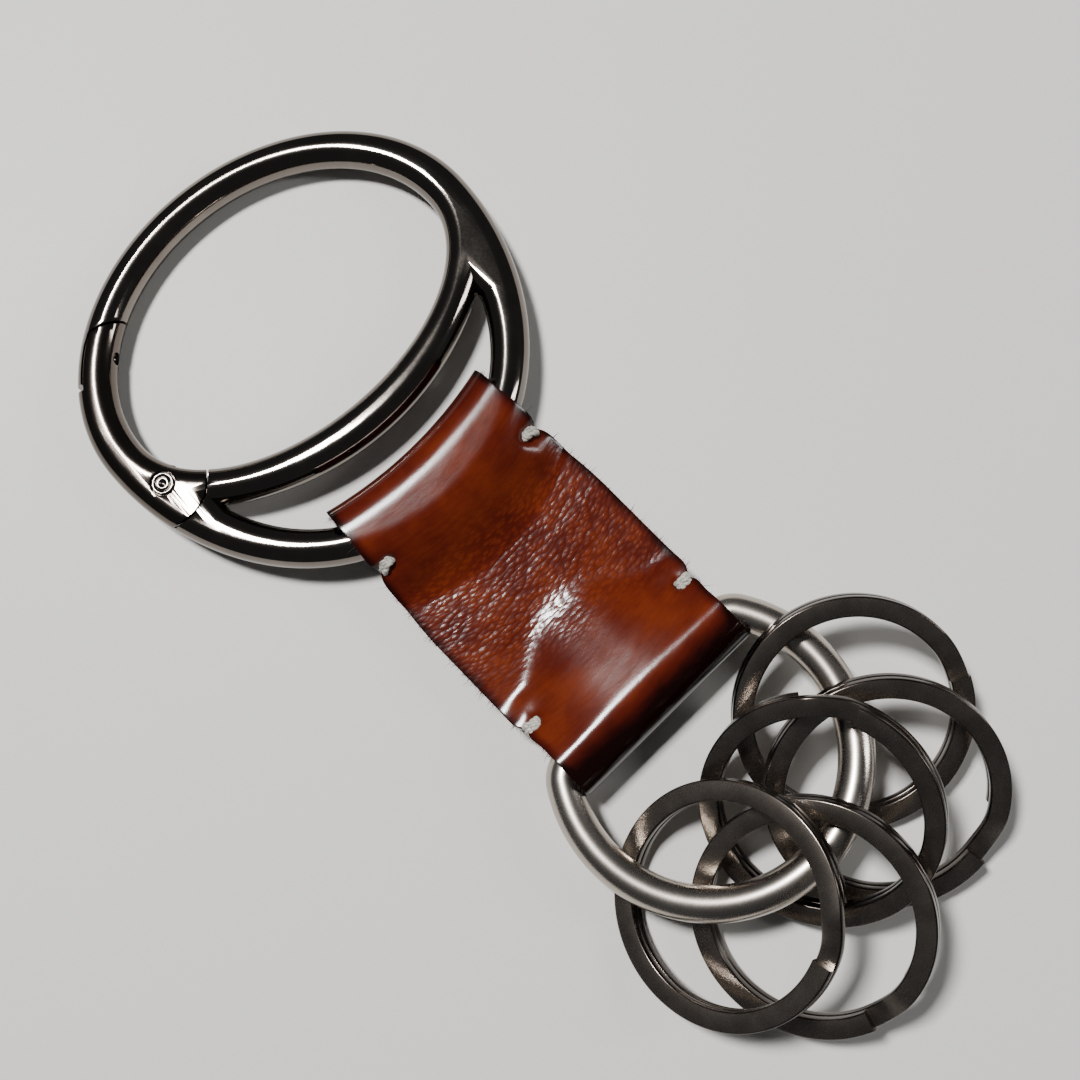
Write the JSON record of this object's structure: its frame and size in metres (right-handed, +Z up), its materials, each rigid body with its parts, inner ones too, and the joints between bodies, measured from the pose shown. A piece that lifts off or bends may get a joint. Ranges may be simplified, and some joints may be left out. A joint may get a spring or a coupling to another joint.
{
  "type": "key organiser",
  "caption": "Pocket key organiser: oval spring-gate ring, folded and stitched leather strap, D-ring and flat-band split rings for keys.",
  "frame": {"origin": "middle of the footprint, on the table the organiser lies on", "axes": "+X from the gate ring along the strap to the split rings, +Y across the strap, away from the gate's hinge, +Z up"},
  "size_m": [0.1302, 0.0572, 0.0164],
  "materials": {
    "black_nickel": "polished black nickel plate on a zinc casting",
    "dark_satin_nickel": "satin dark nickel plate",
    "split_ring_nickel": "black nickel plate on flattened spring steel, dark edges",
    "satin_nickel": "brushed satin nickel plate",
    "spring_steel": "bare drawn wire",
    "cognac_leather": "glazed red-brown leather, darker burnished folds and raw edges",
    "waxed_thread": "undyed waxed thread"
  },
  "bodies": {
    "gate_ring": {"ring_frame": "black_nickel"},
    "gate": {"gate": "dark_satin_nickel", "gate_rivet": "dark_satin_nickel", "gate_spring": "spring_steel"},
    "plunger": {"gate_plunger": "spring_steel"},
    "strap": {"strap": "cognac_leather", "stitch_ring_left": "waxed_thread", "stitch_ring_right": "waxed_thread", "stitch_dee_left": "waxed_thread", "stitch_dee_right": "waxed_thread"},
    "dee_ring": {"dee_ring": "satin_nickel"},
    "split_ring_1_body": {"split_ring_1": "split_ring_nickel"},
    "split_ring_2_body": {"split_ring_2": "split_ring_nickel"},
    "split_ring_3_body": {"split_ring_3": "split_ring_nickel"},
    "split_ring_4_body": {"split_ring_4": "split_ring_nickel"},
    "split_ring_5_body": {"split_ring_5": "split_ring_nickel"}
  },
  "joints": [
    {"name": "gate_hinge", "type": "hinge", "parent": "gate_ring", "child": "gate", "pos_m": [-0.0379, -0.0245, 0.00376], "axis": [0.0543, -0.0033, -0.9985], "range_deg": [0, 28], "stiffness_Nm_per_rad": 0.05, "springref_deg": -28.65},
    {"name": "plunger_slide", "type": "slide", "parent": "gate", "child": "plunger", "axis": [-0.9848, -0.1651, -0.053], "range_m": [0, 0.0004]},
    {"name": "strap_swing", "type": "hinge", "parent": "gate_ring", "child": "strap", "pos_m": [-0.01507, -0.00058, 0.00495], "axis": [0, 1, 0], "range_deg": [-35, 25]},
    {"name": "dee_ring_swing", "type": "hinge", "parent": "strap", "child": "dee_ring", "pos_m": [0.01968, -0.00058, 0.00435], "axis": [0, 1, 0], "range_deg": [-110, 110]},
    {"name": "split_ring_1_spin", "type": "hinge", "parent": "dee_ring", "child": "split_ring_1_body", "pos_m": [0.03852, 0.01472, 0.00562], "axis": [0.251, -0.1968, 0.9478], "continuous": true},
    {"name": "split_ring_2_spin", "type": "hinge", "parent": "dee_ring", "child": "split_ring_2_body", "pos_m": [0.04741, 0.01082, 0.00617], "axis": [0.2419, -0.2622, 0.9342], "continuous": true},
    {"name": "split_ring_3_spin", "type": "hinge", "parent": "dee_ring", "child": "split_ring_3_body", "pos_m": [0.04342, 0.00382, 0.00822], "axis": [0.0339, -0.5109, 0.859], "continuous": true},
    {"name": "split_ring_4_spin", "type": "hinge", "parent": "dee_ring", "child": "split_ring_4_body", "pos_m": [0.05112, -0.00518, 0.00711], "axis": [-0.0671, -0.4237, 0.9033], "continuous": true},
    {"name": "split_ring_5_spin", "type": "hinge", "parent": "dee_ring", "child": "split_ring_5_body", "pos_m": [0.04331, -0.01108, 0.00822], "axis": [-0.315, -0.4075, 0.8572], "continuous": true}
  ],
  "couplings": [
    {"joint": "plunger_slide", "follows": "gate_hinge", "m_per_rad": 0.0008}
  ]
}
